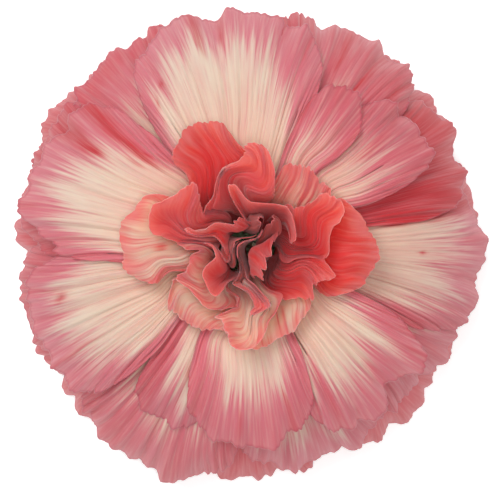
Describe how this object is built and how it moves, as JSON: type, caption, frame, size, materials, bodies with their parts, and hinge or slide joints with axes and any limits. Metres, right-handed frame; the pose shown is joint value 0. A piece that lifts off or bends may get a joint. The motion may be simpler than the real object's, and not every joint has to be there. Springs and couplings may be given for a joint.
{
  "type": "carnation bloom",
  "caption": "Double carnation flower head cut just under its calyx, with toothed, ruffled petals in nested whorls, resting face up on its guard petals and cut end.",
  "frame": {"origin": "on the surface the bloom rests on, under the middle of the bloom's outline", "axes": "+Z up along the bloom's axis; seen face on from above, +X is right and +Y is up"},
  "size_m": [0.0758, 0.0752, 0.0458],
  "materials": {
    "outer_petal": "matt, velvety, cream with pink toothed margins and streaks",
    "inner_petal": "matt, velvety, coral red with paler pink rims",
    "calyx": "satin, waxy green with fine lengthwise veins",
    "stem": "satin, pale green, paler at the cut",
    "pistil": "satin, pale green to white"
  },
  "bodies": {
    "root": {"stem_and_receptacle": "stem", "calyx": "calyx", "bract_1": "calyx", "bract_2": "calyx", "bract_3": "calyx", "bract_4": "calyx", "pistil": "pistil", "guard_petal_1": "outer_petal", "guard_petal_2": "outer_petal", "guard_petal_3": "outer_petal", "guard_petal_4": "outer_petal", "guard_petal_5": "outer_petal", "guard_petal_6": "outer_petal", "guard_petal_7": "outer_petal", "guard_petal_8": "outer_petal", "outer_petal_1": "outer_petal", "outer_petal_2": "outer_petal", "outer_petal_3": "outer_petal", "outer_petal_4": "outer_petal", "outer_petal_5": "outer_petal", "outer_petal_6": "outer_petal", "outer_petal_7": "outer_petal", "outer_petal_8": "outer_petal", "outer_petal_9": "outer_petal", "front_petal_1": "outer_petal", "front_petal_2": "outer_petal", "front_petal_3": "outer_petal", "front_petal_4": "outer_petal", "front_petal_5": "outer_petal", "front_petal_6": "outer_petal", "front_petal_7": "outer_petal", "front_petal_8": "outer_petal", "ruff_petal_1": "inner_petal", "ruff_petal_2": "inner_petal", "ruff_petal_3": "inner_petal", "ruff_petal_4": "inner_petal", "ruff_petal_5": "inner_petal", "ruff_petal_6": "inner_petal", "crown_petal_1": "inner_petal", "crown_petal_2": "inner_petal", "crown_petal_3": "inner_petal", "crown_petal_4": "inner_petal", "crown_petal_5": "inner_petal", "crown_petal_6": "inner_petal", "core_petal_1": "inner_petal", "core_petal_2": "inner_petal", "core_petal_3": "inner_petal", "core_petal_4": "inner_petal", "core_petal_5": "inner_petal", "heart_petal_1": "inner_petal", "heart_petal_2": "inner_petal", "heart_petal_3": "inner_petal", "heart_petal_4": "inner_petal"}
  },
  "joints": []
}
